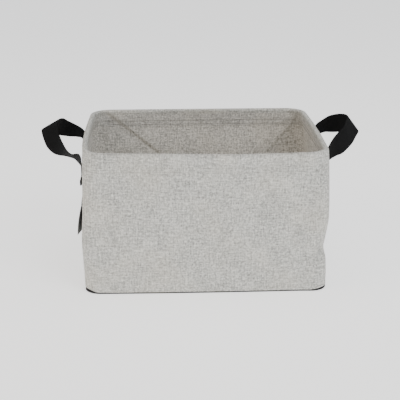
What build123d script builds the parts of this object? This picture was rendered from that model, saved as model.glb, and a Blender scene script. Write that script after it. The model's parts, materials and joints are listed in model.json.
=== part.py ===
from build123d import *
from math import cos, radians, sin
import os

# A folding fabric storage bin with a wire rim, board walls and two webbing handles.
#
# The four walls fold inward at half their height while the rim comes straight down. The short
# walls fold as whole rectangles. The long walls fold as trapezoids, with soft gussets at their ends.
# Millimetres, +Z up, +X to the right. The origin is on the floor, under the middle of the bin.

os.makedirs("parts", exist_ok=True)

# Overall size.
length = 445.0
depth = 355.0
height = 264.0

# Cloth and board layers of a wall, from the inside out.
lining = 0.6
board = 1.2
outer_cloth = 0.6
wall = lining + board + outer_cloth

# The walls stand a little inside the rim.
rim_overhang_x = 1.5
rim_overhang_y = 2.5
corner_radius = 28.0
layer_gap = 0.4

# The floor of the bin: a board between two cloths.
base_length = 440.0
base_depth = 345.0
base_radius = 30.0
base_cloth = 1.0
base_board_thickness = 3.0
base_board_inset = 2.0
base_height = base_board_thickness + 2 * base_cloth

# The rim: a steel wire in a soft sleeve, inside a cloth casing.
rim_width = 10.0
rim_height = 9.0
rim_corner_radius = 42.0
rim_edge_round = 3.2
wire_radius = 2.0
sleeve_radius = 3.3
sleeve_play = 0.1

# The hem that faces the inside of each wall, just under the rim.
hem_start = 6.0
hem_depth = 30.0
hem_cloth = 0.6

# Folding lines.
fold_low = base_height + layer_gap
fold_top = height - rim_height - layer_gap
fold_middle = (fold_low + fold_top) / 2
fold_gap = 0.15
half_height = fold_middle - fold_low
diagonal_gap = 26.0
gusset_clearance = 0.6

# Handles of flat webbing.
webbing_width = 38.0
webbing = 1.8
tab_thickness = 1.5
tab_bottom = 177.0
tab_top = 224.0
handle_spacing = 120.0
pivot_height = 230.0
pivot_out = 12.0
handle_reach = 72.0
handle_tilt = 38.0
handle_bend = 52.0
neck_width = 7.0
shoulder_width = 30.0
shoulder_reach = 34.0
full_width_reach = 44.0

# The blank tag near the front of the left wall: it hangs across the middle fold, in two halves.
tag_front = 142.0
tag_width = 36.0
tag_bottom = 104.0
tag_top = 164.0
tag_thickness = 0.8
tag_fold_gap = 8.0

outer_x = length / 2 - rim_overhang_x
outer_y = depth / 2 - rim_overhang_y
inner_x = outer_x - wall
inner_y = outer_y - wall
short_wall_width = 2 * (outer_y - corner_radius - layer_gap)

WALLS = {
    "left": Plane(origin=(-inner_x, 0, 0), x_dir=(0, -1, 0), z_dir=(-1, 0, 0)),
    "right": Plane(origin=(inner_x, 0, 0), x_dir=(0, 1, 0), z_dir=(1, 0, 0)),
    "front": Plane(origin=(0, -inner_y, 0), x_dir=(1, 0, 0), z_dir=(0, -1, 0)),
    "back": Plane(origin=(0, inner_y, 0), x_dir=(-1, 0, 0), z_dir=(0, 1, 0)),
}
HALVES = {
    "lower": (fold_low, fold_middle - fold_gap),
    "upper": (fold_middle + fold_gap, fold_top),
}


def save(part, name):
    part.label = name
    export_step(part, f"parts/{name}.step")


def half_width(side, half, z):
    """Half the width of a wall's board at height z: long walls narrow towards the middle fold."""
    if side in ("left", "right"):
        return short_wall_width / 2
    edge = fold_low if half == "lower" else fold_top
    return inner_x - diagonal_gap - abs(z - edge)


def wall_outline(side, half, low, high):
    at_low = half_width(side, half, low)
    at_high = half_width(side, half, high)
    return [(-at_low, low), (at_low, low), (at_high, high), (-at_high, high)]


def wall_layer(name, side, half, low, high, start, thickness):
    """One flat layer of a wall, between two heights, start millimetres out from its inner face."""
    with BuildPart() as layer:
        with BuildSketch(WALLS[side].offset(start)):
            with BuildLine():
                Polyline(*wall_outline(side, half, low, high), close=True)
            make_face()
        extrude(amount=thickness)
    save(layer.part, name)


def wall_half(side, half):
    low, high = HALVES[half]
    name = f"{side}_{half}"
    wall_layer(f"{name}_lining", side, half, low, high, 0, lining)
    wall_layer(f"{name}_board", side, half, low, high, lining, board)
    wall_layer(f"{name}_outer", side, half, low, high, lining + board, outer_cloth)


def hem_facing(side):
    high = fold_top - hem_start
    low = fold_top - hem_depth
    wall_layer(f"hem_facing_{side}", side, "upper", low, high, -hem_cloth, hem_cloth)


def gusset(side, end, half):
    """The soft corner between a long wall's slanting end and the short wall's edge."""
    low, high = HALVES[half]
    sign = 1 if end == "right" else -1
    if side == "back":
        sign = -sign
    beyond = sign * (outer_x + 1)
    inside_low = sign * (half_width(side, half, low) + gusset_clearance)
    inside_high = sign * (half_width(side, half, high) + gusset_clearance)
    with BuildPart() as corner:
        with BuildSketch(Plane.XY.offset(low)):
            RectangleRounded(
                2 * (outer_x - outer_cloth),
                2 * (outer_y - outer_cloth),
                corner_radius - outer_cloth,
            )
            RectangleRounded(
                2 * (inner_x + lining),
                2 * (inner_y + lining),
                corner_radius - wall + lining,
                mode=Mode.SUBTRACT,
            )
        extrude(amount=high - low)
        with BuildSketch(WALLS[side].offset(wall - corner_radius)):
            with BuildLine():
                Polyline(
                    (beyond, low), (inside_low, low), (inside_high, high), (beyond, high), close=True
                )
            make_face()
        extrude(amount=corner_radius, mode=Mode.INTERSECT)
    save(corner.part, f"gusset_{side}_{end}_{half}")


def base_layer(name, low, thickness, inset):
    with BuildPart() as layer:
        with BuildSketch(Plane.XY.offset(low)):
            RectangleRounded(base_length - 2 * inset, base_depth - 2 * inset, base_radius - inset)
        extrude(amount=thickness)
    save(layer.part, name)


def rim_ring(radius, bore):
    """A round tube or rod of the rim's plan shape, along the middle of the casing."""
    half_x = (length - rim_width) / 2
    half_y = (depth - rim_width) / 2
    bend = rim_corner_radius - rim_width / 2
    with BuildPart() as ring:
        with BuildLine(Plane.XY.offset(height - rim_height / 2)) as centre:
            FilletPolyline(
                (-half_x, -half_y), (half_x, -half_y), (half_x, half_y), (-half_x, half_y),
                radius=bend, close=True,
            )
        with BuildSketch(Plane(origin=centre.line @ 0, z_dir=centre.line % 0)):
            Circle(radius)
            if bore:
                Circle(bore, mode=Mode.SUBTRACT)
        sweep()
    return ring.part


def rim_casing():
    inner_radius = rim_corner_radius - rim_width
    with BuildPart() as casing:
        with BuildSketch(Plane.XY.offset(height - rim_height)):
            RectangleRounded(length, depth, rim_corner_radius)
            RectangleRounded(
                length - 2 * rim_width, depth - 2 * rim_width, inner_radius, mode=Mode.SUBTRACT
            )
        extrude(amount=rim_height)
        faces = casing.faces().filter_by(Axis.Z)
        fillet(faces.edges(), rim_edge_round)
        add(rim_ring(sleeve_radius + sleeve_play, 0), mode=Mode.SUBTRACT)
    save(casing.part, "rim_casing")


def handle_loop(side):
    """The free part of a handle: a U of webbing, narrow where it twists away from the wall."""
    sign = 1 if side == "right" else -1
    pivot = (sign * (outer_x + pivot_out), 0, pivot_height)
    outward = (sign * cos(radians(handle_tilt)), 0, sin(radians(handle_tilt)))
    upright = (-sign * sin(radians(handle_tilt)), 0, cos(radians(handle_tilt)))
    flat = Plane(origin=pivot, x_dir=outward, z_dir=upright)
    edge_on = Plane(origin=pivot, x_dir=outward, z_dir=(0, -sign, 0))
    half_spacing = handle_spacing / 2
    tip = handle_reach + webbing
    with BuildPart() as loop:
        with BuildSketch(flat):
            for skin, mode in ((webbing / 2, Mode.ADD), (-webbing / 2, Mode.SUBTRACT)):
                leg = half_spacing + skin
                reach = handle_reach + skin
                with BuildLine():
                    FilletPolyline(
                        (0, -leg), (reach, -leg), (reach, leg), (0, leg), radius=handle_bend + skin
                    )
                    Line((0, leg), (0, -leg))
                make_face(mode=mode)
        extrude(amount=webbing_width / 2, both=True)
        with BuildSketch(edge_on):
            with BuildLine():
                upper = Polyline(
                    (0, 0), (0, neck_width / 2), (shoulder_reach, shoulder_width / 2),
                    (full_width_reach, webbing_width / 2), (tip, webbing_width / 2), (tip, 0),
                )
                mirror(upper, about=Plane.XZ)
            make_face()
        extrude(amount=handle_spacing, both=True, mode=Mode.INTERSECT)
    save(loop.part, f"handle_{side}_loop")


def handle_tab(side, leg, across):
    """The end of a handle that is sewn flat to the upper half of a short wall."""
    with BuildPart() as tab:
        with BuildSketch(WALLS[side].offset(wall)):
            with Locations((across, (tab_bottom + tab_top) / 2)):
                Rectangle(webbing_width, tab_top - tab_bottom)
        extrude(amount=tab_thickness)
    save(tab.part, f"handle_{side}_tab_{leg}")


def tag(half, low, high):
    """One half of a blank cloth tag, flat on the outside of the left wall."""
    with BuildPart() as label:
        with Locations((-outer_x - tag_thickness / 2, tag_width / 2 - tag_front, low)):
            Box(
                tag_thickness,
                tag_width,
                high - low,
                align=(Align.CENTER, Align.CENTER, Align.MIN),
            )
    save(label.part, f"tag_{half}")


base_layer("base_cover", 0, base_cloth, 0)
base_layer("base_board", base_cloth, base_board_thickness, base_board_inset)
base_layer("base_lining", base_cloth + base_board_thickness, base_cloth, 0)

for side in WALLS:
    for half in HALVES:
        wall_half(side, half)
    hem_facing(side)

for side in ("front", "back"):
    for end in ("left", "right"):
        for half in HALVES:
            gusset(side, end, half)

save(rim_ring(wire_radius, 0), "rim_wire")
save(rim_ring(sleeve_radius, wire_radius + sleeve_play), "rim_sleeve")
rim_casing()

for side in ("left", "right"):
    handle_loop(side)
    leg_sign = 1 if side == "left" else -1
    handle_tab(side, "front", leg_sign * handle_spacing / 2)
    handle_tab(side, "back", -leg_sign * handle_spacing / 2)

tag("lower", tag_bottom, fold_middle - tag_fold_gap)
tag("upper", fold_middle + tag_fold_gap, tag_top)
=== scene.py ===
"""The looks of a folding fabric storage bin: heathered cloth over boards, and webbing handles.

The cloth is one shell round the bin, cut along the folding lines into pieces that ride on the
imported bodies. Metres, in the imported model's frame.
"""

import json
import math

import bpy
import numpy as np
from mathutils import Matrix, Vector


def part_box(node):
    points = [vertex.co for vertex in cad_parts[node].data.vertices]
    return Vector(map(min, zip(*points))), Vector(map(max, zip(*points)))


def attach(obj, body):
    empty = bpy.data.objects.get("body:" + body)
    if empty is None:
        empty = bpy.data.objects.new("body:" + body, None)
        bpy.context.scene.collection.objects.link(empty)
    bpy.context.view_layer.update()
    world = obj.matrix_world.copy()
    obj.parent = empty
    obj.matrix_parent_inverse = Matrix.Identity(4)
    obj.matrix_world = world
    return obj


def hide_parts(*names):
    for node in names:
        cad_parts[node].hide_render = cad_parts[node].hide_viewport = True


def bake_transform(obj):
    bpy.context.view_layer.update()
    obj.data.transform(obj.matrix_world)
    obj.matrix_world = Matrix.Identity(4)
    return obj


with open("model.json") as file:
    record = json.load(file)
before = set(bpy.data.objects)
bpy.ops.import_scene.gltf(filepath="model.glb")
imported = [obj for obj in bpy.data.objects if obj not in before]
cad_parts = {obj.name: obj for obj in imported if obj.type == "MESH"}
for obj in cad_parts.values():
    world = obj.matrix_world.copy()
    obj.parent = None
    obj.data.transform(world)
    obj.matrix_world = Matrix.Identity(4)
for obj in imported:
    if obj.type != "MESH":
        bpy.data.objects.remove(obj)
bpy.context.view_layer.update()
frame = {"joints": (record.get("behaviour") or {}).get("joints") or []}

JOINTS = {joint["name"]: joint for joint in frame["joints"]}


def joint_place(name):
    """How far out along X and Y, and how high, a joint's line is."""
    return [abs(c) for c in JOINTS[name]["pos_m"]]


# Driving places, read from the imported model.
rim_half_x, rim_half_y, rim_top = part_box("rim_casing")[1]
base_half_x, base_half_y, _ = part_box("base_cover")[1]
board_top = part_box("base_board")[1].z
floor_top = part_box("base_lining")[1].z
wire_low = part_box("rim_wire")[0]
wire_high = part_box("rim_wire")[1]
sleeve_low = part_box("rim_sleeve")[0]
sleeve_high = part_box("rim_sleeve")[1]
tag_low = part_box("tag_lower")[0]
tag_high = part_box("tag_upper")[1]
_, _, fold_low = joint_place("fold")
outer_x, _, fold_middle = joint_place("left_middle_fold")
_, _, fold_top = joint_place("left_top_fold")
half_height = fold_middle - fold_low

# The shell's even plan: its size at the floor, its corners, and how far the walls swell.
shell_base_x = base_half_x + 0.0006
shell_base_y = base_half_y + 0.0006
radius_base = 0.0290
radius_middle = 0.0215
radius_rim = 0.0420
belly = 0.0012

# How far the cloth departs from that plan.
wave_depth = 0.0004
toe_bulge = 0.0042
rim_give = 0.0026
rim_give_from = 0.17
front_bow = 0.0018
front_bulge = 0.0045
left_tuck = 0.0034
corner_lift = 0.0052
rim_droop = 0.0022
dent_depth = 0.0088
dent_height = 0.079
dent_top = 0.136
dent_fade = 0.024

# The folding lines. Each diagonal runs from near the end of a long wall's top or bottom edge in
# to the middle fold. The shares are of the rectangle round each cut of cloth.
diagonal_start = 0.214
diagonal_reach = 0.120
fold_softness = 0.006

# The crease in the lining below each corner of a long wall: the corner's side, how far along the
# crease meets the rim, how much it leans, and how far it steps in. Between the crease and the
# corner the lining swells by a share of that step, and a seam runs down near the corner.
LINING_CREASES = ((-1, 0.194, 1.20, 0.0044), (1, 0.228, 0.86, 0.0022))
pillow_share = 0.60
seam_depth = 0.0009
seam_from_corner = 0.010

# The layers of a wall, inward from the face of the outer cloth.
OUTER_CLOTH = (0.0, 0.0007)
BOARD = (0.0008, 0.0020)
LINING = (0.0021, 0.0028)
board_gap = 0.002
hem_cloth = 0.0008
hem_low = rim_top - 0.0355
hem_lean = 0.0054
hem_lean_height = 0.022
STITCH_ROWS = (rim_top - 0.0245, rim_top - 0.0328)

# The rim's roll of cloth, and the cloths of the base.
rim_roll = 0.0095
rim_cloth = 0.0007
bottom_cloth = 0.0011
turned_cloth = 0.0006
turned_in = 0.0200

# Sizes of the meshes' cells and of the stitches.
row_step = 0.0045
column_step = 0.0060
fine_step = 0.0030
hem_step = 0.0025
stitch_pitch = 0.0036
stitch_gap = 0.0009
thread_radius = 0.00032

# The webbing, which is folded under at both ends of a handle, and the tag.
webbing_thickness = 0.0018
folded_under = 0.011
folded_extra = 0.9
tag_cloth_thickness = 0.0006
tag_clearance = 0.0008
tag_lean = 0.0070


# ---------------------------------------------------------------- the shell's shape


def bump(value, width):
    """A smooth hill, 1 where the value is 0."""
    return np.exp(-((value / width) ** 2))


def ease(value):
    """A smooth step from 0 to 1."""
    v = np.clip(value, 0, 1)
    return v * v * (3 - 2 * v)


def plan_sizes(z):
    """Half length, half depth and corner radius of the outer cloth at height z."""
    t = np.clip(z / rim_top, 0, 1)
    rise = np.sin(t * np.pi / 2)
    swell = belly * np.sin(np.pi * t)
    half_x = shell_base_x + (rim_half_x - shell_base_x) * rise + swell
    half_y = shell_base_y + (rim_half_y - shell_base_y) * rise + swell
    low = np.clip(1 - 2 * t, 0, 1) ** 2
    high = np.clip(2 * t - 1, 0, 1) ** 3
    radius = radius_middle + (radius_base - radius_middle) * low + (radius_rim - radius_middle) * high
    return half_x, half_y, radius


def corner_dent(x, y, z):
    """The front right corner is pressed in, most at a short crease one third of the way up."""
    near = bump(x - rim_half_x, 0.036) * bump(y + rim_half_y, 0.050)
    above = np.clip((dent_top - z) / (dent_top - dent_height), 0, 1) ** 1.15
    below = 0.25 + 0.75 * ease((z - dent_height + dent_fade) / dent_fade)
    foot = ease((z - 0.001) / 0.012)
    return dent_depth * near * np.where(z > dent_height, above, below) * foot


def slack(x, y, z):
    """How far the cloth stands out, or in where it is negative, from its even plan."""
    waves = (
        np.sin(x * 31 + 1.3) * np.sin(z * 37 + x * 9)
        + np.sin(y * 33 + 0.7) * np.sin(z * 29 + y * 7)
        + 0.6 * np.sin((x + y) * 58 + z * 41)
    )
    fade = np.clip(z / 0.05, 0, 1) * np.clip((rim_top - z) / 0.05, 0, 1)
    toe = toe_bulge * bump(x - base_half_x, 0.03) * bump(y + base_half_y, 0.08) * bump(z - 0.018, 0.036)
    return wave_depth * waves * fade + toe - corner_dent(x, y, z)


def plan_shift(x, y, z):
    """The plan isn't quite a rectangle: the ends draw in, and the front stands out in the middle."""
    near_rim = ease((z - rim_give_from) / (rim_top - rim_give_from))
    end = np.clip((np.abs(x) - 0.14) / 0.07, 0, 1) ** 2
    pull = rim_give * np.clip(np.abs(y) / 0.14, 0, 1) ** 2 * end
    # The front right corner keeps most of its length.
    pull = pull * np.where((x > 0) & (y < 0), 0.25, 1.0)
    front = ease((-y - 0.05) / 0.10)
    bow = front_bow - (front_bow + rim_give) * np.clip(np.abs(x) / 0.17, 0, 1) ** 2
    tuck = left_tuck * bump(y + rim_half_y, 0.055) * np.clip(-x / 0.15, 0, 1) * ease((z - 0.08) / 0.08)
    bulge = front_bulge * np.clip(1 - (x / 0.2) ** 2, 0, 1) * (0.5 + 0.5 * ease(z / 0.15))
    return -np.sign(x) * pull * near_rim + tuck, -(bow * near_rim + bulge) * front


def lift(x, y, z):
    """The front corners stand off the bottom cloth, and the front of the rim droops on the right."""
    left = bump(x + base_half_x, 0.016)
    right = 0.6 * bump(x - base_half_x, 0.020)
    foot = (left + right) * bump(y + base_half_y, 0.030) * ease((0.030 - z) / 0.030)
    foot = foot * ease((z - bottom_cloth) / 0.0004)
    droop = ease((x + 0.08) / 0.16) * ease((-y - 0.02) / 0.12) * ease((z - 0.14) / (rim_top - 0.14))
    return corner_lift * foot - rim_droop * droop


def boundary(z):
    """Unrolled place of the diagonal fold between a long wall's trapezoid and its gussets."""
    away = np.where(z < fold_middle, z - fold_low, fold_top - z)
    return diagonal_start - np.clip(away, 0, None) * diagonal_reach / half_height


def long_end(z):
    """Unrolled place where a long wall's corner meets the short wall."""
    half_x, _, radius = plan_sizes(z)
    return half_x - radius + radius * math.pi / 2


def short_end(z):
    """Unrolled place where a short wall meets the corner."""
    _, half_y, radius = plan_sizes(z)
    return half_y - radius


def lining_folds(side, u, z):
    """How far the lining stands in: it steps at the diagonal fold below each corner, and at seams."""
    if side in ("left", "right"):
        return 0.0005 * (1 + np.sin(u * 27 + 2)) * bump(z - 0.14, 0.07)
    folds = np.zeros_like(u + z)
    for sign, start, lean, step in LINING_CREASES:
        away = sign * u - start + lean * (rim_top - z)
        across = away / math.hypot(1, lean)
        fade = ease((z - 0.140) / 0.050) * ease((rim_top + 0.004 - z) / 0.012)
        panel = ease((0.0040 - across) / 0.0085) * bump(np.minimum(across, 0), 0.045)
        corner = ease((long_end(z) - np.abs(u)) / 0.030)
        pillow = pillow_share * ease((across - 0.007) / 0.026) * corner
        folds = folds + step * fade * (panel + pillow)
    seam = bump(np.abs(u) - (long_end(z) - seam_from_corner), 0.0014)
    loose = 0.0006 * (1 + np.sin(u * 23 + 1) * np.sin(z * 40)) * bump(z - 0.14, 0.07)
    return folds + seam_depth * seam * ease((fold_top - z) / 0.01) + loose


def surface(side, u, z, inset):
    """The shell's point at unrolled place u and height z, inset from the outer cloth's face."""
    half_x, half_y, radius = plan_sizes(z)
    if side in ("front", "back"):
        straight = half_x - radius
        angle = np.clip(np.abs(u) - straight, 0, None) / radius
        sign = np.sign(u)
        flip = -1 if side == "front" else 1
        nx, ny = sign * np.sin(angle), flip * np.cos(angle)
        x = sign * np.minimum(np.abs(u), straight) + (radius - inset) * nx
        y = flip * (half_y - radius) + (radius - inset) * ny
    else:
        nx, ny = (-1 if side == "left" else 1) + 0 * u, 0 * u
        x = (half_x - inset) * nx
        y = u
    # Only layers further in than the board take the lining's folds.
    inner = np.clip((inset - BOARD[1]) / 0.0001, 0, 1)
    push = slack(x, y, z) - lining_folds(side, u, z) * inner
    dx, dy = plan_shift(x, y, z)
    return np.stack([x + nx * push + dx, y + ny * push + dy, z + lift(x, y, z)], -1)


def surface_normals(side, u, z, inset, outward):
    """The shell's normals there, on the side that the outward vectors point to."""
    step = 0.0005
    across = surface(side, u + step, z, inset) - surface(side, u - step, z, inset)
    up = surface(side, u, z + step, inset) - surface(side, u, z - step, inset)
    normals = np.cross(across, up)
    normals /= np.linalg.norm(normals, axis=-1, keepdims=True)
    return normals * np.sign((normals * outward).sum(-1, keepdims=True))


MEAN_LONG_END = float(long_end(fold_middle))
MEAN_SHORT_END = float(short_end(fold_middle))


def round_the_bin(side, u):
    """Distance round the bin, so that the weave runs on from wall to wall."""
    long, short = MEAN_LONG_END, MEAN_SHORT_END
    return {
        "front": u,
        "right": u + long + short,
        "back": 2 * long + 2 * short - u,
        "left": -u - long - short,
    }[side]


# ---------------------------------------------------------------- meshes


def new_piece(name, mesh, material):
    """Puts a mesh in the scene as a piece of one material."""
    mesh.materials.append(material)
    piece = bpy.data.objects.new(name, mesh)
    bpy.context.scene.collection.objects.link(piece)
    return piece


def slab(name, faces, face_normals, uv, material):
    """A thin closed piece from two grids of points, with the shading normals of its two faces."""
    near, far = faces
    near_normals, far_normals = face_normals
    rows, columns = near.shape[:2]
    index = np.arange(rows * columns).reshape(rows, columns)
    a, b = index[:-1, :-1].ravel(), index[:-1, 1:].ravel()
    c, d = index[1:, 1:].ravel(), index[1:, :-1].ravel()
    front = np.stack([a, b, c, d], 1)
    ring = np.concatenate([index[0, :], index[1:, -1], index[-1, -2::-1], index[-2:0:-1, 0]])
    following = np.roll(ring, -1)
    edge = np.stack([ring, ring + rows * columns, following + rows * columns, following], 1)
    corner = near.reshape(-1, 3)[front[0]]
    turn = np.cross(corner[1] - corner[0], corner[2] - corner[0]) @ near_normals.reshape(-1, 3)[a[0]]
    if turn < 0:
        front, edge = front[:, ::-1], edge[:, ::-1]
    back = front[:, ::-1] + rows * columns
    polygons = np.concatenate([front, back, edge])
    mesh = bpy.data.meshes.new(name)
    points = np.concatenate([near.reshape(-1, 3), far.reshape(-1, 3)])
    mesh.from_pydata(points.tolist(), [], polygons.tolist())
    smooth = np.arange(len(polygons)) < 2 * len(front)
    mesh.polygons.foreach_set("use_smooth", smooth)
    flat_uv = np.tile(uv.reshape(-1, 2), (2, 1))[polygons.ravel()]
    mesh.uv_layers.new(name="Weave").data.foreach_set("uv", flat_uv.astype(np.float32).ravel())
    normals = np.zeros((polygons.size, 3))
    normals[: front.size] = near_normals.reshape(-1, 3)[front.ravel()]
    normals[front.size: 2 * front.size] = far_normals.reshape(-1, 3)[front[:, ::-1].ravel()]
    mesh.normals_split_custom_set(normals.tolist())
    return new_piece(name, mesh, material)


def heights(low, high, step=row_step):
    """Even rows from low to high, about a step apart."""
    return np.linspace(low, high, max(2, round((high - low) / step)) + 1)


def at_height(value, z):
    """A value that is a number or a function of height, as an array like z."""
    return value(z) if callable(value) else value + 0 * z


def wall_piece(name, side, zs, edges, layer, material, step=column_step):
    """A layer of one wall between two unrolled edges, each a function of height."""
    left, right = (edge(zs) for edge in edges)
    columns = max(2, round(float(np.max(right - left)) / step))
    u = left[:, None] + (right - left)[:, None] * np.linspace(0, 1, columns + 1)
    z = np.repeat(zs[:, None], columns + 1, 1)
    near_inset, far_inset = (at_height(inset, z) for inset in layer)
    near = surface(side, u, z, near_inset)
    far = surface(side, u, z, far_inset)
    normals = (
        surface_normals(side, u, z, near_inset, near - far),
        surface_normals(side, u, z, far_inset, far - near),
    )
    uv = np.stack([round_the_bin(side, u), z], -1)
    return slab(name, (near, far), normals, uv, material)


def minus(edge):
    """The mirror image of an edge, on the other end of its wall."""
    return lambda z: -edge(z)


def thread_mesh(name, rows, material):
    """Stitches along rows; each row is a dense line of points on the cloth, and its normals there."""
    points, faces = [], []
    swell = np.array([0.4, 0.95, 1.0, 0.95, 0.4]) * thread_radius
    rise = np.array([-0.3, 0.5, 0.7, 0.5, -0.3]) * thread_radius
    rings, sides = len(swell), 6
    angles = np.linspace(0, 2 * math.pi, sides + 1)[:-1]
    for line, outward in rows:
        gone = np.concatenate([[0], np.cumsum(np.linalg.norm(np.diff(line, axis=0), axis=1))])
        for i in range(int(gone[-1] / stitch_pitch)):
            start = i * stitch_pitch + stitch_gap / 2
            at = np.linspace(start, start + stitch_pitch - stitch_gap, rings)
            centre = np.stack([np.interp(at, gone, line[:, k]) for k in range(3)], 1)
            normal = np.stack([np.interp(at, gone, outward[:, k]) for k in range(3)], 1)
            run = centre[-1] - centre[0]
            across = np.cross(normal, run / np.linalg.norm(run))
            first = len(points)
            for j in range(rings):
                middle = centre[j] + normal[j] * rise[j]
                for angle in angles:
                    spoke = normal[j] * math.sin(angle) + across[j] * math.cos(angle)
                    points.append(middle + spoke * swell[j])
            for j in range(rings - 1):
                for k in range(sides):
                    m = (k + 1) % sides
                    low, high = first + sides * j, first + sides * (j + 1)
                    faces.append((low + k, low + m, high + m, high + k))
            last = first + sides * (rings - 1)
            faces.append(tuple(first + k for k in reversed(range(sides))))
            faces.append(tuple(last + k for k in range(sides)))
    mesh = bpy.data.meshes.new(name)
    mesh.from_pydata([tuple(p) for p in points], [], faces)
    mesh.polygons.foreach_set("use_smooth", [True] * len(faces))
    return new_piece(name, mesh, material)


# ---------------------------------------------------------------- materials


class Nodes:
    """A short way to write a material's nodes: a call adds nodes and returns what comes out."""

    def __init__(self, name):
        self.material = bpy.data.materials.new(name)
        self.material.use_nodes = True
        self.tree = self.material.node_tree
        self.shader = self.tree.nodes["Principled BSDF"]

    def add(self, kind, settings=None, output=0, **inputs):
        """Adds a node of a kind, with its properties and inputs, and returns one output."""
        node = self.tree.nodes.new("ShaderNode" + kind)
        for key, value in (settings or {}).items():
            setattr(node, key, value)
        for key, value in inputs.items():
            self.feed(node, key, value)
        return node.outputs[output]

    def feed(self, node, key, value):
        """Sets or links a socket, named by its label or as i0, i1 and so on by its number."""
        numbered = key[0] == "i" and key[1:].isdigit()
        socket = node.inputs[int(key[1:])] if numbered else node.inputs[key]
        if isinstance(value, bpy.types.NodeSocket):
            self.tree.links.new(value, socket)
        else:
            socket.default_value = value

    def math(self, operation, a, b=0.0):
        return self.add("Math", {"operation": operation}, i0=a, i1=b)

    def total(self, *parts):
        """The sum of (value, weight) pairs."""
        result = None
        for value, weight in parts:
            weighted = self.math("MULTIPLY", value, weight)
            result = weighted if result is None else self.math("ADD", result, weighted)
        return result

    def weave_place(self):
        """Where a point is on its own cloth, in metres."""
        return self.add("UVMap", {"uv_map": "Weave"})

    def object_place(self):
        """Where a point is in its piece's own space."""
        return self.add("TexCoord", output=3)

    def scaled(self, vector, x, y):
        return self.add("VectorMath", {"operation": "MULTIPLY"}, i0=vector, i1=(x, y, 1.0))

    def noise(self, vector, scale, detail=2.0, roughness=0.5):
        return self.add("TexNoise", Vector=vector, Scale=scale, Detail=detail, Roughness=roughness)

    def bands(self, vector, direction, pitch, distortion=0.0):
        """Ridges and grooves a pitch apart."""
        return self.add(
            "TexWave", {"wave_type": "BANDS", "bands_direction": direction},
            Vector=vector, Scale=math.pi / (10 * pitch), Distortion=distortion, Detail=1.0,
        )

    def ramp(self, value, low, high, to_low=0.0, to_high=1.0):
        """A smooth step from to_low to to_high as the value goes from low to high."""
        return self.add(
            "MapRange", {"interpolation_type": "SMOOTHSTEP"},
            i0=value, i1=low, i2=high, i3=to_low, i4=to_high,
        )

    def mix(self, share, a, b):
        return self.add("Mix", {"data_type": "RGBA"}, output=2, i0=share, i6=a, i7=b)

    def finish(self, color, roughness, height, strength, distance):
        """Sets the shader's colour, roughness and bump, and returns the material."""
        self.feed(self.shader, "Base Color", color)
        self.feed(self.shader, "Roughness", roughness)
        bumped = self.add("Bump", Height=height, Strength=strength, Distance=distance)
        self.feed(self.shader, "Normal", bumped)
        return self.material


def rgb(red, green, blue):
    """A colour given as a screen shows it, 0 to 255, as the linear colour that nodes use."""
    return tuple((c / 255) ** 2.2 for c in (red, green, blue)) + (1.0,)


def linen(name, light, dark, contrast, pinch=0.0):
    """Heathered plain weave: uneven threads both ways, slubs and soft mottling.

    Where pinch is more than 0, rows of stitches draw the cloth in, and painted shade darkens it along the
    rows.
    """
    n = Nodes(name)
    at = n.weave_place()
    weft = n.noise(n.scaled(at, 170, 900), 1.0, 2.0, 0.6)
    warp = n.noise(n.scaled(at, 900, 170), 1.0, 2.0, 0.6)
    slub_weft = n.noise(n.scaled(at, 45, 420), 1.0, 2.0)
    slub_warp = n.noise(n.scaled(at, 420, 45), 1.0, 2.0)
    mottle = n.noise(at, 240.0, 3.0, 0.7)
    cloud = n.noise(at, 22.0, 2.0)
    shade = n.total(
        (weft, 0.18), (warp, 0.18), (slub_weft, 0.15), (slub_warp, 0.15), (mottle, 0.28), (cloud, 0.06)
    )
    color = n.mix(n.ramp(shade, 0.5 - contrast, 0.5 + contrast), dark, light)
    patches = n.ramp(n.noise(at, 11.0, 2.0), 0.4, 0.7, 0.0, 0.5)
    color = n.mix(patches, color, n.mix(0.35, color, rgb(206, 196, 176)))
    threads = n.total((n.bands(at, "X", 0.0009, 1.2), 0.5), (n.bands(at, "Y", 0.0009, 1.2), 0.5))
    height = n.total((threads, 1.0), (shade, 2.5))
    if pinch:
        rise = n.add("SeparateXYZ", output=1, Vector=at)
        for row in STITCH_ROWS:
            near = n.ramp(n.math("ABSOLUTE", n.math("SUBTRACT", rise, row)), 0.0002, 0.0022, 1.0, 0.0)
            height = n.math("SUBTRACT", height, n.math("MULTIPLY", near, 4.0 * pinch))
            # Painted shade: the colour darkens towards each stitch row, where the groove is.
            color = n.mix(n.math("MULTIPLY", near, 0.22 * pinch), color, rgb(70, 67, 62))
    n.feed(n.shader, "Sheen Weight", 0.10)
    n.feed(n.shader, "Specular IOR Level", 0.2)
    return n.finish(color, 0.93, height, 0.45, 0.0004)


def ribbed_webbing():
    """Black webbing: ribs across, crossed by finer lines along, with a soft uneven gloss."""
    n = Nodes("webbing")
    at = n.weave_place()
    ribs = n.bands(at, "Y", 0.0024, 0.5)
    lines = n.bands(at, "X", 0.0019, 0.3)
    dust = n.noise(at, 900.0, 3.0, 0.6)
    wear = n.noise(at, 60.0, 2.0)
    share = n.total((ribs, 0.35), (lines, 0.15), (dust, 0.35), (wear, 0.15))
    color = n.mix(share, rgb(6, 6, 7), rgb(34, 34, 35))
    height = n.total((ribs, 1.0), (lines, 0.5), (dust, 0.4))
    n.feed(n.shader, "Specular IOR Level", 0.10)
    return n.finish(color, n.ramp(dust, 0.3, 0.7, 0.7, 0.9), height, 0.7, 0.0006)


def paperboard():
    n = Nodes("paperboard")
    at = n.object_place()
    fibres = n.noise(at, 700.0, 4.0, 0.7)
    share = n.total((fibres, 0.7), (n.noise(at, 40.0), 0.3))
    return n.finish(n.mix(share, rgb(120, 111, 95), rgb(172, 162, 142)), 0.85, fibres, 0.2, 0.0002)


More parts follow.
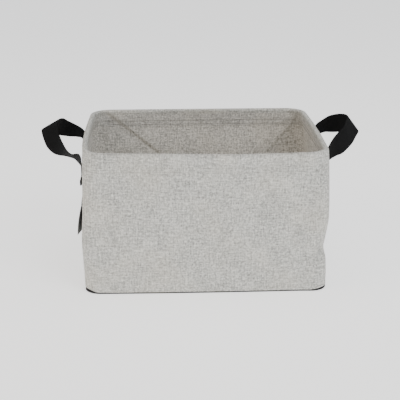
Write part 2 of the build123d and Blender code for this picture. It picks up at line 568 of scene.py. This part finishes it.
def nonwoven(name, dark, light):
    """Thin bonded cloth with a small pressed dot pattern."""
    n = Nodes(name)
    at = n.object_place()
    fibres = n.noise(at, 1400.0, 3.0, 0.7)
    dots = n.ramp(n.add("TexVoronoi", Vector=at, Scale=420.0), 0.15, 0.4, 0.4, 1.0)
    share = n.math("MULTIPLY", fibres, dots)
    return n.finish(n.mix(share, dark, light), 0.9, share, 0.5, 0.0004)


def woven_tape(name, dark, light):
    """A smooth close-woven tape, as tags are made of."""
    n = Nodes(name)
    at = n.weave_place()
    weave = n.total((n.bands(at, "X", 0.0007, 0.6), 0.5), (n.bands(at, "Y", 0.0007, 0.6), 0.5))
    share = n.total((weave, 0.4), (n.noise(at, 500.0, 3.0), 0.6))
    return n.finish(n.mix(share, dark, light), 0.8, weave, 0.35, 0.0003)


def drawn_steel():
    n = Nodes("drawn_steel")
    scratches = n.noise(n.object_place(), 500.0, 3.0)
    n.feed(n.shader, "Metallic", 1.0)
    color = n.mix(scratches, rgb(120, 122, 124), rgb(190, 192, 194))
    return n.finish(color, n.ramp(scratches, 0.3, 0.7, 0.25, 0.45), scratches, 0.1, 0.0001)


def thread(name, dark, light):
    n = Nodes(name)
    twist = n.noise(n.object_place(), 2500.0)
    return n.finish(n.mix(twist, dark, light), 0.7, twist, 0.4, 0.0002)


outer_linen = linen("outer_linen", rgb(232, 231, 225), rgb(131, 131, 127), 0.112, 0.12)
hem_linen = linen("hem_linen", rgb(236, 234, 228), rgb(142, 140, 136), 0.095, 0.9)
lining_linen = linen("lining_linen", rgb(246, 243, 236), rgb(146, 143, 137), 0.092)
webbing_cloth = ribbed_webbing()
board_material = paperboard()
base_cloth = nonwoven("base_cloth", rgb(44, 44, 45), rgb(80, 80, 82))
felt = nonwoven("felt", rgb(170, 168, 162), rgb(214, 212, 206))
tag_cloth = woven_tape("tag_cloth", rgb(92, 94, 94), rgb(142, 144, 144))
steel = drawn_steel()
grey_thread = thread("grey_thread", rgb(132, 130, 125), rgb(196, 194, 187))
black_thread = thread("black_thread", rgb(14, 14, 15), rgb(60, 60, 62))


# ---------------------------------------------------------------- walls


LOWER = heights(fold_low, fold_middle)
UPPER = heights(fold_middle, fold_top)
CREASE = fold_middle + np.linspace(-fold_softness, fold_softness, 7)
WHOLE = np.unique(np.concatenate([LOWER, UPPER, CREASE]))
CLOTHS = (
    ("cloth", "outer", OUTER_CLOTH, outer_linen, "outer_cloth"),
    ("lining", "lining", LINING, lining_linen, "lining_cloth"),
)


def wall(side, edges, margin):
    """One wall: outer cloth and lining across the middle fold, and two boards between.

    The boards stop short of the wall's edges by the margin.
    """
    for part, kind, layer, material, slot in CLOTHS:
        fine = part == "lining"
        zs = np.union1d(WHOLE, heights(fold_middle, fold_top, fine_step)) if fine else WHOLE
        step = fine_step if fine else column_step
        piece = wall_piece(f"{side}_{part}", side, zs, edges, layer, material, step)
        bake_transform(piece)
        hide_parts(f"{side}_lower_{kind}", f"{side}_upper_{kind}")
    left, right = edges
    held_back = (lambda z: left(z) + margin, lambda z: right(z) - margin)
    for half, zs in (("lower", LOWER), ("upper", UPPER)):
        inside = heights(zs[0] + board_gap, zs[-1] - board_gap)
        piece = wall_piece(f"{side}_{half}_card", side, inside, held_back, BOARD, board_material)
        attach(piece, f"{side}_{half}")
        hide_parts(f"{side}_{half}_board")


def gussets(side, end):
    """The soft triangles at one end of a long wall, which run round the corner."""
    edges = (boundary, long_end) if end == "right" else (minus(long_end), minus(boundary))
    for half, zs in (("lower", LOWER), ("upper", UPPER)):
        body = f"gusset_{side}_{end}_{half}"
        for part, _, layer, material, slot in CLOTHS:
            piece = wall_piece(f"{body}_{part}", side, zs, edges, layer, material, row_step)
            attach(piece, body)
            if part == "cloth":
                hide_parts(body)


def hem_face(z):
    """How far in the hem's face is: it leans out from the wall towards the roll of the rim."""
    lean = hem_lean * ease((z - fold_top + hem_lean_height) / hem_lean_height)
    return LINING[1] + 0.0001 + hem_cloth + lean


def hem_parts(side):
    """The upper wall pieces under the rim on one side: their name, edges and body."""
    if side in ("left", "right"):
        return [(side, (minus(short_end), short_end), f"{side}_upper")]
    return [
        (side, (minus(boundary), boundary), f"{side}_upper"),
        (f"{side}_left_corner", (minus(long_end), minus(boundary)), f"gusset_{side}_left_upper"),
        (f"{side}_right_corner", (boundary, long_end), f"gusset_{side}_right_upper"),
    ]


def hem_stitches(side, name, edges, body):
    """Two rows of stitches, seen on both faces of a wall."""
    rows = []
    for z in STITCH_ROWS:
        u = np.arange(float(edges[0](z)) + 0.001, float(edges[1](z)) - 0.001, 0.002)
        for inset, facing in ((0.0, 1), (float(hem_face(z)), -1)):
            line = surface(side, u, z + 0 * u, inset + 0 * u)
            inward = line - surface(side, u, z + 0 * u, inset + 0.0001 + 0 * u)
            normals = surface_normals(side, u, z + 0 * u, inset + 0 * u, inward)
            rows.append((line, normals * facing))
    stitches = thread_mesh(f"hem_stitches_{name}", rows, grey_thread)
    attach(stitches, body)


def hem(side):
    """The band that faces the inside of a wall below the rim, with its stitches."""
    zs = heights(hem_low, fold_top, hem_step)
    layer = (lambda z: hem_face(z) - hem_cloth, hem_face)
    for name, edges, body in hem_parts(side):
        piece = wall_piece(f"hem_{name}", side, zs, edges, layer, hem_linen)
        if name == side:
            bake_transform(piece)
        else:
            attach(piece, body)
        left, right = (edge(zs) for edge in edges)
        if name == side:
            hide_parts(f"hem_facing_{side}")
        hem_stitches(side, name, edges, body)


# ---------------------------------------------------------------- rim and base


def plan_loop(z, inset):
    """Points all round the shell at one height, and their distances round it."""
    points, along = [], []
    for side, end in (("front", long_end), ("right", short_end), ("back", long_end), ("left", short_end)):
        reach = float(end(z))
        u = np.linspace(-reach, reach, round(2 * float(end(fold_middle)) / row_step) + 1)[:-1]
        if side in ("back", "left"):
            u = -u
        points.append(surface(side, u, z + 0 * u, inset + 0 * u))
        along.append(round_the_bin(side, u))
    return np.concatenate(points), np.concatenate(along)


def ring_piece(name, section, creases, material):
    """A closed band round the bin from (inset, height) points, with sharp edges at creases."""
    rings = np.stack([plan_loop(z, inset)[0] for inset, z in section])
    n, count = rings.shape[:2]
    _, along = plan_loop(section[0][1], section[0][0])
    step_round = np.roll(along, -1) - along
    step_round[np.abs(step_round) > 0.02] = row_step
    following = np.roll(rings, -1, 0)
    strip = np.cross(np.roll(rings, -1, 1) - rings, following - rings)
    strip /= np.linalg.norm(strip, axis=-1, keepdims=True)
    strip = strip + np.roll(strip, 1, 1)
    strip /= np.linalg.norm(strip, axis=-1, keepdims=True)
    soft = strip + np.roll(strip, 1, 0)
    soft /= np.linalg.norm(soft, axis=-1, keepdims=True)
    travelled = section[0][1] + np.concatenate(
        [[0], np.cumsum([math.dist(a, b) for a, b in zip(section, section[1:] + section[:1])])]
    )
    polygons, uv, normals = [], [], []
    for i in range(n):
        k = (i + 1) % n
        low_normals = strip[i] if i in creases else soft[i]
        high_normals = strip[i] if k in creases else soft[k]
        for j in range(count):
            m = (j + 1) % count
            polygons.append((i * count + j, i * count + m, k * count + m, k * count + j))
            u0, u1 = along[j], along[j] + step_round[j]
            v0, v1 = travelled[i], travelled[i + 1]
            uv += [(u0, v0), (u1, v0), (u1, v1), (u0, v1)]
            normals += [low_normals[j], low_normals[m], high_normals[m], high_normals[j]]
    mesh = bpy.data.meshes.new(name)
    mesh.from_pydata(rings.reshape(-1, 3).tolist(), [], polygons)
    mesh.polygons.foreach_set("use_smooth", [True] * len(polygons))
    mesh.uv_layers.new(name="Weave").data.foreach_set("uv", np.array(uv, np.float32).ravel())
    mesh.normals_split_custom_set([tuple(v) for v in normals])
    return new_piece(name, mesh, material)


def rim():
    """Cloth rolled over the wire: level with the wall outside, and leaning to the hem inside."""
    tall = rim_top - fold_top
    half_tall = tall * 0.52
    centre = rim_roll / 2
    outside = [(0.0, fold_top), (0.0, fold_top + 0.002), (0.0, fold_top + 0.004)]
    # The roll is a rounded oblong, squarer outside than inside.
    for angle in np.linspace(math.pi - 0.15, -0.55, 18):
        c, s = math.cos(angle), math.sin(angle)
        power = 2 / 3.0 if c < 0 else 2 / 2.4
        inset = centre * (1 + math.copysign(abs(c) ** power, c))
        z = rim_top - half_tall + half_tall * math.copysign(abs(s) ** power, s)
        outside.append((inset, z))
    outside.append((float(hem_face(fold_top)), fold_top))
    middle = (centre, rim_top - tall * 0.5)
    inside = []
    for inset, z in reversed(outside):
        share = 1 - rim_cloth / math.dist((inset, z), middle)
        height = middle[1] + (z - middle[1]) * share
        inside.append((middle[0] + (inset - middle[0]) * share, max(fold_top, height)))
    creases = {0, len(outside) - 1, len(outside), len(outside) + len(inside) - 1}
    cloth = ring_piece("rim_cloth", outside + inside, creases, outer_linen)
    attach(cloth, "rim")
    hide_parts("rim_casing")
    wire_radius = (wire_high.z - wire_low.z) / 2
    sleeve_radius = (sleeve_high.z - sleeve_low.z) / 2
    for name, radius, node, material in (
        ("rim_bent_wire", wire_radius, "rim_wire", steel),
        ("rim_felt_sleeve", sleeve_radius, "rim_sleeve", felt),
    ):
        ring = [
            (
                rim_half_x - wire_high.x + wire_radius + radius * math.cos(angle),
                (wire_low.z + wire_high.z) / 2 + radius * math.sin(angle),
            )
            for angle in np.linspace(2 * math.pi, 0, 13)[:-1]
        ]
        core = ring_piece(name, ring, set(), material)
        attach(core, "rim")
        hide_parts(node)


def base():
    """The floor: a dark bottom cloth, the outer cloth turned in over it, a board and a lining."""
    under = bottom_cloth + 0.0005
    out = [
        (0.0, fold_low), (0.0, under + 0.0024), (0.0001, under + 0.0015), (0.0005, under + 0.0007),
        (0.0014, under + 0.0002), (0.0030, under), (turned_in, under),
    ]
    back = [
        (turned_in, under + turned_cloth), (0.0022, under + 0.0007), (0.0009, under + 0.0012),
        (turned_cloth, under + 0.0020), (turned_cloth, fold_low),
    ]
    creases = {0, len(out) - 1, len(out), len(out) + len(back) - 1}
    turned = ring_piece("base_turned_cloth", (out + back)[::-1], creases, outer_linen)
    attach(turned, "base")
    layers = (
        ("base_bottom_cloth", (0.0, bottom_cloth), 0.0003, 0.0, base_cloth, "base_cover", "base_cloth"),
        ("base_card", (under + 0.0008, board_top - 0.0001), 0.0026, 0.0, board_material,
         "base_board", "board"),
        ("base_lining_cloth", (board_top, floor_top - 0.0002), 0.0034, 0.0003, lining_linen,
         "base_lining", "lining_cloth"),
    )
    for name, (low, high), inset, wave, material, node, slot in layers:
        layer, size = floor_layer(name, low, high, inset, wave, material)
        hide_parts(node)


def floor_layer(name, low, high, inset, wave, material):
    """A layer of the floor, as rings that shrink towards the middle, and its size."""
    outline, _ = plan_loop(high, inset)
    # The rings are closest near the edge.
    shares = np.concatenate([np.linspace(0.02, 0.9, 30), [0.95, 0.985, 1.0]])
    rings = outline[None] * [1, 1, 0] * shares[:, None, None] + [0, 0, high]
    fade = 1 - shares[:, None] ** 6
    rings[..., 2] += wave * np.sin(rings[..., 0] * 26) * np.sin(rings[..., 1] * 31 + 1) * fade
    rings[..., 2] += lift(rings[..., 0], rings[..., 1], high)
    count = outline.shape[0]
    n = len(shares)
    under = rings - [0, 0, high - low]
    points = np.concatenate([rings.reshape(-1, 3), under.reshape(-1, 3)])
    polygons = []
    for i in range(n - 1):
        for j in range(count):
            m = (j + 1) % count
            top = (i * count + j, (i + 1) * count + j, (i + 1) * count + m, i * count + m)
            polygons.append(top)
            polygons.append(tuple(v + n * count for v in reversed(top)))
    for j in range(count):
        m = (j + 1) % count
        edge = (n - 1) * count
        polygons.append((edge + j, edge + j + n * count, edge + m + n * count, edge + m))
    polygons.append(tuple(range(count)))
    polygons.append(tuple(range(n * count + count - 1, n * count - 1, -1)))
    mesh = bpy.data.meshes.new(name)
    mesh.from_pydata(points.tolist(), [], polygons)
    mesh.polygons.foreach_set("use_smooth", [True] * len(polygons))
    flat = points[[v for p in polygons for v in p], :2]
    mesh.uv_layers.new(name="Weave").data.foreach_set("uv", flat.astype(np.float32).ravel())
    piece = new_piece(name, mesh, material)
    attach(piece, "base")
    spread = np.ptp(outline, axis=0)
    return piece, (float(spread[0]), float(spread[1]))


# ---------------------------------------------------------------- handles and tag


# Both edges of each handle's webbing, from the end sewn nearest the front round to the other:
# distance out from the wall, place along it, and height, in millimetres.
LEFT_LOWER_EDGE = [
    (6.5, -41, 178), (6.2, -41, 185), (4.2, -41, 193), (4.2, -41, 200), (5.2, -41, 203),
    (7.2, -42, 205), (9.5, -43, 208.5), (13, -43, 213), (19, -42, 219), (26, -42, 222),
    (36, -43, 225), (49, -43, 227), (60, -42, 232), (71, -36, 243), (80, -17, 260),
    (82, 0, 266), (77, 22, 261), (67, 38, 251), (55, 47, 243), (36, 47, 240),
    (20, 45, 239.5), (9, 41, 237), (4.2, 41, 219), (4.2, 41, 178),
]
LEFT_UPPER_EDGE = [
    (6.5, -79, 178), (6.2, -79, 185), (4.2, -79, 193), (4.2, -79, 206), (4.2, -79, 216),
    (4.4, -79, 225), (5.2, -79, 233), (8, -78.5, 238), (13, -77, 238.5), (21, -76, 237.5),
    (29, -73, 243), (36, -64, 252), (42, -53, 261), (47, -40, 270), (50, -20, 281),
    (49, 0, 285), (43, 22, 282), (36, 40, 273), (28, 54, 265), (19, 68, 256),
    (11, 75, 248), (5.5, 79, 237), (4.2, 79, 216), (4.2, 79, 178),
]
RIGHT_LOWER_EDGE = [
    (4.2, -41, 177), (4.2, -41, 190), (4.5, -42, 199), (9, -45, 206), (17, -50, 213),
    (30, -50, 221), (44, -46, 226), (63, -30, 239), (74, -14, 250), (81, 0, 256),
    (78, 18, 254), (69, 34, 249), (56, 46, 244), (38, 51, 242), (24, 48, 243),
    (11, 43, 239), (4.5, 41, 224), (4.2, 41, 203), (4.2, 41, 177),
]
RIGHT_UPPER_EDGE = [
    (4.2, -79, 177), (4.2, -79, 192), (4.5, -78, 212), (6, -75, 231), (13, -67, 245),
    (23, -57, 258), (34, -47, 267), (45, -36, 275), (53, -18, 283), (58, 0, 287),
    (55, 18, 286), (49, 34, 283), (41, 46, 279), (31, 57, 273), (20, 68, 262),
    (11, 75, 252), (4.5, 79, 234), (4.2, 79, 204), (4.2, 79, 177),
]


def curve_through(points, per_span):
    """A smooth curve through points (Catmull-Rom), with the same number of samples in each span."""
    p = np.array(points, float)
    p = np.concatenate([[2 * p[0] - p[1]], p, [2 * p[-1] - p[-2]]])
    t = np.linspace(0, 1, per_span, endpoint=False)[:, None]
    spans = [
        0.5 * (
            2 * b + (c - a) * t + (2 * a - 5 * b + 4 * c - d) * t ** 2
            + (3 * b - a - 3 * c + d) * t ** 3
        )
        for a, b, c, d in zip(p, p[1:], p[2:], p[3:])
    ]
    return np.concatenate(spans + [p[-2:-1]])


class Webbing:
    """A band of webbing, from both its edges: places, normals and distance along it."""

    per_span = 36
    shares = np.array([0, 0.015, 0.05, 0.2, 0.35, 0.5, 0.65, 0.8, 0.95, 0.985, 1])
    serration = 0.00035
    serration_pitch = 0.0027

    def __init__(self, side, lower, upper):
        self.sign = -1 if side == "left" else 1
        self.low = self.placed(lower)
        self.high = self.placed(upper)
        middle = (self.low + self.high) / 2
        self.across = self.high - self.low
        self.width = float(np.linalg.norm(self.across, axis=1).mean())
        normal = np.cross(self.across, np.gradient(middle, axis=0))
        normal /= np.linalg.norm(normal, axis=1, keepdims=True)
        self.normal = normal * np.sign(normal[0, 0]) * self.sign
        runs = np.linalg.norm(np.diff(middle, axis=0), axis=1)
        self.along = np.concatenate([[0], np.cumsum(runs)])

    def placed(self, points):
        """An edge's points as a smooth line on this handle's side, in metres."""
        line = curve_through(points, self.per_span) / 1000
        line[:, 0] = self.sign * (line[:, 0] + outer_x)
        return line

    def half_thickness(self, distance):
        """Half the thickness there, which is more where an end is folded under."""
        from_end = np.minimum(distance, self.along[-1] - distance)
        return (1 + folded_extra * ease((folded_under - from_end) / 0.002)) * webbing_thickness / 2

    def piece(self, name, first, last):
        """The stretch between two key points, thicker where an end is folded under."""
        span = slice(first * self.per_span, last * self.per_span + 1)
        along = self.along[span]
        unit = self.across[span] / np.linalg.norm(self.across[span], axis=1, keepdims=True)
        loops = np.cos(along * 2 * math.pi / self.serration_pitch)[:, None] * self.serration * unit
        low, high = self.low[span] - loops, self.high[span] + loops
        grid = low[:, None] + (high - low)[:, None] * self.shares[None, :, None]
        rounding = 0.35 + 0.65 * np.sqrt(np.clip(1 - np.abs(2 * self.shares - 1) ** 14, 0, 1))
        half = self.half_thickness(along)[:, None] * rounding[None]
        offset = self.normal[span][:, None] * half[..., None]
        normals = np.repeat(self.normal[span][:, None], len(self.shares), 1)
        uv = np.stack(np.broadcast_arrays(self.shares[None] * self.width, along[:, None]), -1)
        made = slab(name, (grid + offset, grid - offset), (normals, -normals), uv, webbing_cloth)
        return made

    def line(self, start, end):
        """A straight line of stitches on the outer face, between two (share, distance) places.

        The share is of the width. Negative distances are measured back from the far end.
        """
        steps = np.linspace(0, 1, 24)
        share = start[0] + (end[0] - start[0]) * steps
        distance = start[1] + (end[1] - start[1]) * steps
        if distance[0] < 0:
            distance = self.along[-1] + distance
        low, high, normal = (
            np.stack([np.interp(distance, self.along, grid[:, k]) for k in range(3)], 1)
            for grid in (self.low, self.high, self.normal)
        )
        raised = normal * self.half_thickness(distance)[:, None]
        return low + (high - low) * share[:, None] + raised, normal


def handle(side, lower, upper, near_end, far_end):
    """One band of webbing: a loop between two sewn ends, and the ends' stitches, which ride on the upper
    wall.
    """
    band = Webbing(side, lower, upper)
    loop = band.piece(f"handle_{side}_webbing", near_end, far_end)
    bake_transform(loop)
    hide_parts(f"handle_{side}_loop")
    last = len(lower) - 1
    for leg, first, end, turn in (("front", 0, near_end, 1), ("back", far_end, last, -1)):
        sewn = band.piece(f"handle_{side}_{leg}_end", first, end)
        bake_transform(sewn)
        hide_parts(f"handle_{side}_tab_{leg}")
        # A box of stitches with a cross in it.
        corners = [(0.1, 0.003), (0.9, 0.003), (0.9, 0.019), (0.1, 0.019)]
        corners = [(share, turn * distance) for share, distance in corners]
        pairs = [(0, 1), (1, 2), (2, 3), (3, 0), (0, 2), (1, 3)]
        rows = [band.line(corners[a], corners[b]) for a, b in pairs]
        stitches = thread_mesh(f"handle_{side}_{leg}_stitches", rows, black_thread)
        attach(stitches, f"{side}_upper")


def tag_stand_out(y, z):
    """How far off the wall the tag is: most at its loose lower edge, towards the front."""
    fall = (tag_high.z - z) / (tag_high.z - tag_low.z)
    forward = (tag_high.y - y) / (tag_high.y - tag_low.y)
    return tag_clearance + tag_lean * (1 - (1 - fall) ** 2.2) * (0.12 + 0.88 * forward ** 1.3)


def tag():
    """A blank woven tag sewn on near the front of the left wall, its loose corner standing out."""
    z = np.linspace(tag_low.z, tag_high.z, 25)[:, None]
    y = np.linspace(tag_low.y, tag_high.y, 13)[None]
    lean = tag_stand_out(y, z)
    u = y + 0 * z
    faces = [surface("left", u, z, -lean - edge) for edge in (tag_cloth_thickness, 0)]
    away = faces[0] - faces[1]
    normals = np.cross(np.gradient(faces[0], axis=0), np.gradient(faces[0], axis=1))
    normals /= np.linalg.norm(normals, axis=-1, keepdims=True)
    normals *= np.sign((normals * away).sum(-1, keepdims=True))
    piece = slab("tag", faces, (normals, -normals), np.stack(np.broadcast_arrays(u, z), -1), tag_cloth)
    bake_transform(piece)
    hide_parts("tag_lower", "tag_upper")
    along = np.linspace(tag_low.y + 0.001, tag_high.y - 0.001, 20)
    height = tag_high.z - 0.003
    face = tag_stand_out(along, height) + tag_cloth_thickness
    line = surface("left", along, height + 0 * along, -face)
    stitches = thread_mesh("tag_stitches", [(line, np.tile([-1.0, 0, 0], (len(along), 1)))], black_thread)
    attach(stitches, "left_upper")


# ---------------------------------------------------------------- floor, camera and light


def floor():
    """A plain pale floor, just under the bin."""
    size = 6.0
    mesh = bpy.data.meshes.new("floor")
    corners = [(-size, -size, 0), (size, -size, 0), (size, size, 0), (-size, size, 0)]
    mesh.from_pydata(corners, [], [(0, 1, 2, 3)])
    n = Nodes("pale_floor")
    grain = n.noise(n.object_place(), 30.0)
    n.feed(n.shader, "Emission Color", (1.0, 1.0, 1.0, 1.0))
    n.feed(n.shader, "Emission Strength", 0.95)
    material = n.finish(n.mix(grain, (0.88, 0.88, 0.88, 1), (0.9, 0.9, 0.9, 1)), 0.95, grain, 0.02, 0.001)
    piece = new_piece("floor", mesh, material)
    piece.location.z = -0.0004


def aimed(thing, place, target):
    """Puts a camera or a light at a place, pointed at a target."""
    thing.location = place
    thing.rotation_mode = "QUATERNION"
    thing.rotation_quaternion = (Vector(target) - Vector(place)).to_track_quat("-Z", "Y")
    bpy.context.scene.collection.objects.link(thing)
    return thing


def camera():
    azimuth, elevation, distance = math.radians(-2.48), math.radians(17.93), 1.959
    target = Vector((-0.0031, 0.0, 0.1212))
    back = Vector((
        math.sin(azimuth) * math.cos(elevation),
        -math.cos(azimuth) * math.cos(elevation),
        math.sin(elevation),
    ))
    data = bpy.data.cameras.new("camera")
    data.sensor_width = 36
    data.lens = 90.27
    eye = aimed(bpy.data.objects.new("camera", data), target + back * distance, target)
    bpy.context.scene.camera = eye


def area_light(name, place, size, power, color):
    data = bpy.data.lights.new(name, "AREA")
    data.shape = "SQUARE"
    data.size = size
    data.energy = power
    data.color = color
    aimed(bpy.data.objects.new(name, data), place, (0, 0, 0.12))


def lights():
    area_light("key", (1.4, -1.9, 2.0), 1.6, 31, (1.0, 1.0, 1.0))
    area_light("warm_side", (-1.9, -0.9, 1.3), 1.4, 14, (1.0, 0.82, 0.62))
    area_light("top", (0.2, 0.2, 2.6), 2.4, 21, (1.0, 1.0, 1.0))
    world = bpy.data.worlds.new("studio")
    world.use_nodes = True
    background = world.node_tree.nodes["Background"]
    background.inputs["Color"].default_value = (0.97, 0.985, 1.0, 1)
    background.inputs["Strength"].default_value = 0.55
    bpy.context.scene.world = world


for side in ("front", "back"):
    wall(side, (minus(boundary), boundary), 0.003)
    for end in ("left", "right"):
        gussets(side, end)
for side in ("left", "right"):
    wall(side, (minus(short_end), short_end), board_gap)
for side in ("front", "right", "back", "left"):
    hem(side)
rim()
base()
handle("left", LEFT_LOWER_EDGE, LEFT_UPPER_EDGE, 8, 20)
handle("right", RIGHT_LOWER_EDGE, RIGHT_UPPER_EDGE, 4, 14)
tag()
floor()
camera()
lights()
